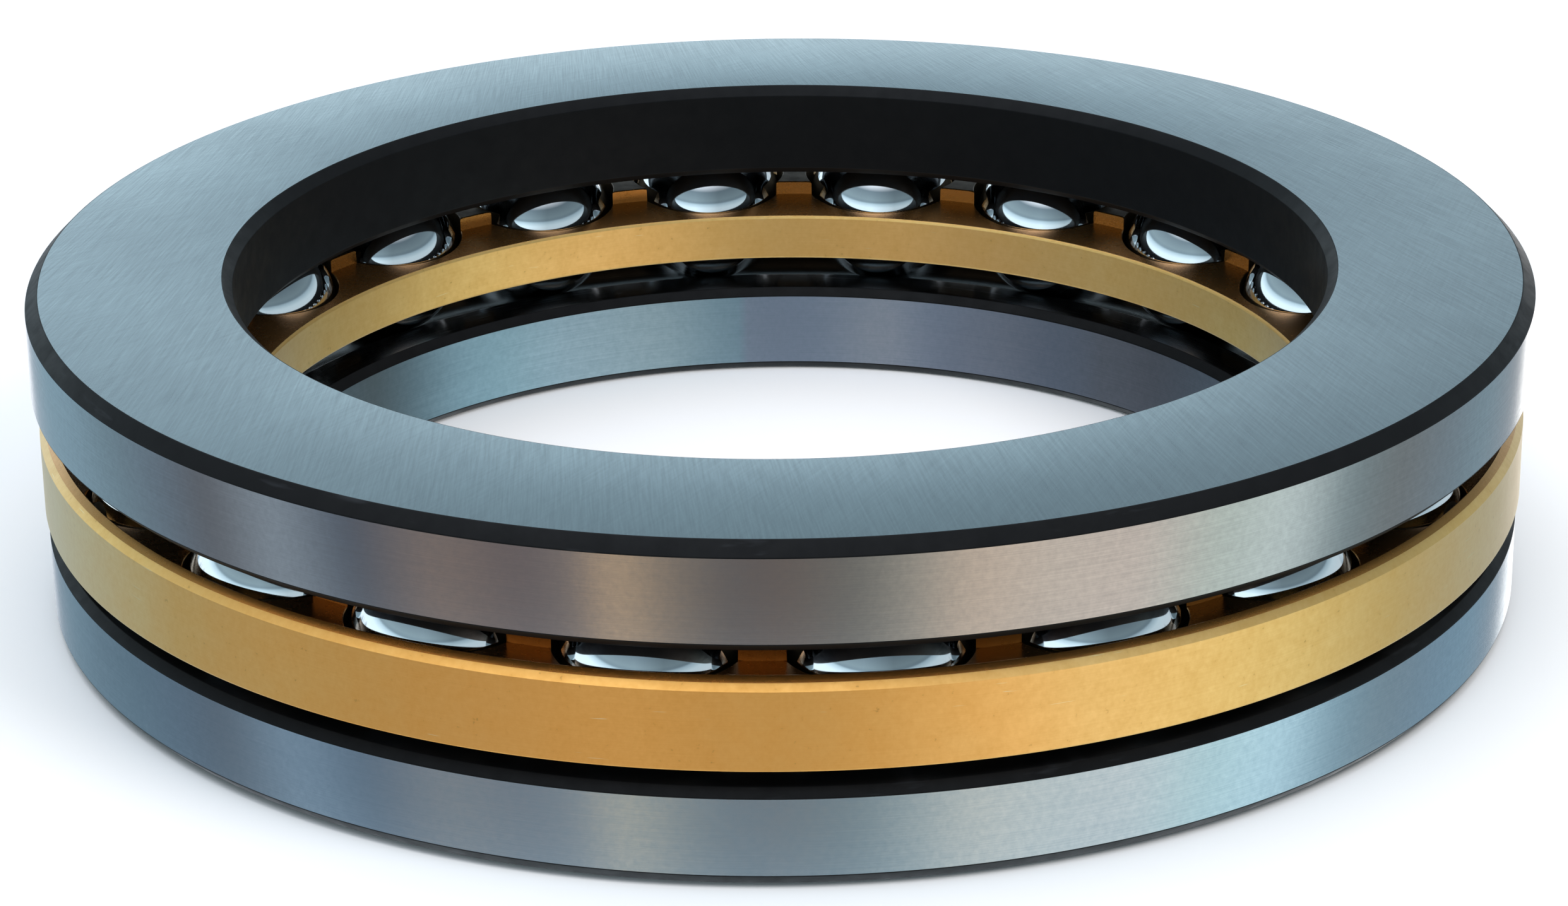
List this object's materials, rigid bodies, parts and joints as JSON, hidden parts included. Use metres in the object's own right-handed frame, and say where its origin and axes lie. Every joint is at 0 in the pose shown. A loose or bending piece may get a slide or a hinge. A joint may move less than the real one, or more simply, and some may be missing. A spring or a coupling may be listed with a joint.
{
  "type": "thrust ball bearing",
  "caption": "Single-direction thrust ball bearing: grooved housing and shaft washers, steel balls and a machined brass cage, for axial load on a vertical or horizontal shaft.",
  "frame": {"origin": "centre of the lower seat, on the bearing axis", "axes": "+Z along the bearing axis from the shaft washer towards the housing washer"},
  "size_m": [0.28, 0.28, 0.062],
  "materials": {
    "washer_steel": "ground bearing steel on the seats and the washer sides, black unground steel in the housing bore, on the chamfers and on the ball side",
    "cage_brass": "turned brass, satin, slightly tarnished",
    "ball_steel": "lapped bearing steel, mirror bright"
  },
  "bodies": {
    "shaft_washer": {"shaft_washer": "washer_steel"},
    "housing_washer": {"housing_washer": "washer_steel"},
    "cage": {"cage": "cage_brass"},
    "ball_01": {"ball_01": "ball_steel"},
    "ball_02": {"ball_02": "ball_steel"},
    "ball_03": {"ball_03": "ball_steel"},
    "ball_04": {"ball_04": "ball_steel"},
    "ball_05": {"ball_05": "ball_steel"},
    "ball_06": {"ball_06": "ball_steel"},
    "ball_07": {"ball_07": "ball_steel"},
    "ball_08": {"ball_08": "ball_steel"},
    "ball_09": {"ball_09": "ball_steel"},
    "ball_10": {"ball_10": "ball_steel"},
    "ball_11": {"ball_11": "ball_steel"},
    "ball_12": {"ball_12": "ball_steel"},
    "ball_13": {"ball_13": "ball_steel"},
    "ball_14": {"ball_14": "ball_steel"},
    "ball_15": {"ball_15": "ball_steel"},
    "ball_16": {"ball_16": "ball_steel"},
    "ball_17": {"ball_17": "ball_steel"},
    "ball_18": {"ball_18": "ball_steel"},
    "ball_19": {"ball_19": "ball_steel"},
    "ball_20": {"ball_20": "ball_steel"}
  },
  "joints": [
    {"name": "housing_spin", "type": "hinge", "parent": "shaft_washer", "child": "housing_washer", "pos_m": [0, 0, 0.0305], "axis": [0, 0, 1], "continuous": true},
    {"name": "cage_spin", "type": "hinge", "parent": "shaft_washer", "child": "cage", "pos_m": [0, 0, 0.0305], "axis": [0, 0, 1], "continuous": true},
    {"name": "ball_01_roll", "type": "hinge", "parent": "cage", "child": "ball_01", "pos_m": [0.01546, -0.119, 0.0305], "axis": [0.1288, -0.9917, 0], "continuous": true},
    {"name": "ball_02_roll", "type": "hinge", "parent": "cage", "child": "ball_02", "pos_m": [0.05147, -0.1084, 0.0305], "axis": [0.4289, -0.9033, 0], "continuous": true},
    {"name": "ball_03_roll", "type": "hinge", "parent": "cage", "child": "ball_03", "pos_m": [0.08245, -0.08719, 0.0305], "axis": [0.6871, -0.7266, 0], "continuous": true},
    {"name": "ball_04_roll", "type": "hinge", "parent": "cage", "child": "ball_04", "pos_m": [0.10536, -0.05744, 0.0305], "axis": [0.878, -0.4787, 0], "continuous": true},
    {"name": "ball_05_roll", "type": "hinge", "parent": "cage", "child": "ball_05", "pos_m": [0.11795, -0.02207, 0.0305], "axis": [0.9829, -0.184, 0], "continuous": true},
    {"name": "ball_06_roll", "type": "hinge", "parent": "cage", "child": "ball_06", "pos_m": [0.119, 0.01546, 0.0305], "axis": [0.9917, 0.1288, 0], "continuous": true},
    {"name": "ball_07_roll", "type": "hinge", "parent": "cage", "child": "ball_07", "pos_m": [0.1084, 0.05147, 0.0305], "axis": [0.9033, 0.4289, 0], "continuous": true},
    {"name": "ball_08_roll", "type": "hinge", "parent": "cage", "child": "ball_08", "pos_m": [0.08719, 0.08245, 0.0305], "axis": [0.7266, 0.6871, 0], "continuous": true},
    {"name": "ball_09_roll", "type": "hinge", "parent": "cage", "child": "ball_09", "pos_m": [0.05744, 0.10536, 0.0305], "axis": [0.4787, 0.878, 0], "continuous": true},
    {"name": "ball_10_roll", "type": "hinge", "parent": "cage", "child": "ball_10", "pos_m": [0.02207, 0.11795, 0.0305], "axis": [0.184, 0.9829, 0], "continuous": true},
    {"name": "ball_11_roll", "type": "hinge", "parent": "cage", "child": "ball_11", "pos_m": [-0.01546, 0.119, 0.0305], "axis": [-0.1288, 0.9917, 0], "continuous": true},
    {"name": "ball_12_roll", "type": "hinge", "parent": "cage", "child": "ball_12", "pos_m": [-0.05147, 0.1084, 0.0305], "axis": [-0.4289, 0.9033, 0], "continuous": true},
    {"name": "ball_13_roll", "type": "hinge", "parent": "cage", "child": "ball_13", "pos_m": [-0.08245, 0.08719, 0.0305], "axis": [-0.6871, 0.7266, 0], "continuous": true},
    {"name": "ball_14_roll", "type": "hinge", "parent": "cage", "child": "ball_14", "pos_m": [-0.10536, 0.05744, 0.0305], "axis": [-0.878, 0.4787, 0], "continuous": true},
    {"name": "ball_15_roll", "type": "hinge", "parent": "cage", "child": "ball_15", "pos_m": [-0.11795, 0.02207, 0.0305], "axis": [-0.9829, 0.184, 0], "continuous": true},
    {"name": "ball_16_roll", "type": "hinge", "parent": "cage", "child": "ball_16", "pos_m": [-0.119, -0.01546, 0.0305], "axis": [-0.9917, -0.1288, 0], "continuous": true},
    {"name": "ball_17_roll", "type": "hinge", "parent": "cage", "child": "ball_17", "pos_m": [-0.1084, -0.05147, 0.0305], "axis": [-0.9033, -0.4289, 0], "continuous": true},
    {"name": "ball_18_roll", "type": "hinge", "parent": "cage", "child": "ball_18", "pos_m": [-0.08719, -0.08245, 0.0305], "axis": [-0.7266, -0.6871, 0], "continuous": true},
    {"name": "ball_19_roll", "type": "hinge", "parent": "cage", "child": "ball_19", "pos_m": [-0.05744, -0.10536, 0.0305], "axis": [-0.4787, -0.878, 0], "continuous": true},
    {"name": "ball_20_roll", "type": "hinge", "parent": "cage", "child": "ball_20", "pos_m": [-0.02207, -0.11795, 0.0305], "axis": [-0.184, -0.9829, 0], "continuous": true}
  ],
  "couplings": [
    {"joint": "cage_spin", "follows": "housing_spin", "ratio": 0.5},
    {"joint": "ball_01_roll", "follows": "housing_spin", "ratio": -3.7795},
    {"joint": "ball_02_roll", "follows": "housing_spin", "ratio": -3.7795},
    {"joint": "ball_03_roll", "follows": "housing_spin", "ratio": -3.7795},
    {"joint": "ball_04_roll", "follows": "housing_spin", "ratio": -3.7795},
    {"joint": "ball_05_roll", "follows": "housing_spin", "ratio": -3.7795},
    {"joint": "ball_06_roll", "follows": "housing_spin", "ratio": -3.7795},
    {"joint": "ball_07_roll", "follows": "housing_spin", "ratio": -3.7795},
    {"joint": "ball_08_roll", "follows": "housing_spin", "ratio": -3.7795},
    {"joint": "ball_09_roll", "follows": "housing_spin", "ratio": -3.7795},
    {"joint": "ball_10_roll", "follows": "housing_spin", "ratio": -3.7795},
    {"joint": "ball_11_roll", "follows": "housing_spin", "ratio": -3.7795},
    {"joint": "ball_12_roll", "follows": "housing_spin", "ratio": -3.7795},
    {"joint": "ball_13_roll", "follows": "housing_spin", "ratio": -3.7795},
    {"joint": "ball_14_roll", "follows": "housing_spin", "ratio": -3.7795},
    {"joint": "ball_15_roll", "follows": "housing_spin", "ratio": -3.7795},
    {"joint": "ball_16_roll", "follows": "housing_spin", "ratio": -3.7795},
    {"joint": "ball_17_roll", "follows": "housing_spin", "ratio": -3.7795},
    {"joint": "ball_18_roll", "follows": "housing_spin", "ratio": -3.7795},
    {"joint": "ball_19_roll", "follows": "housing_spin", "ratio": -3.7795},
    {"joint": "ball_20_roll", "follows": "housing_spin", "ratio": -3.7795}
  ]
}
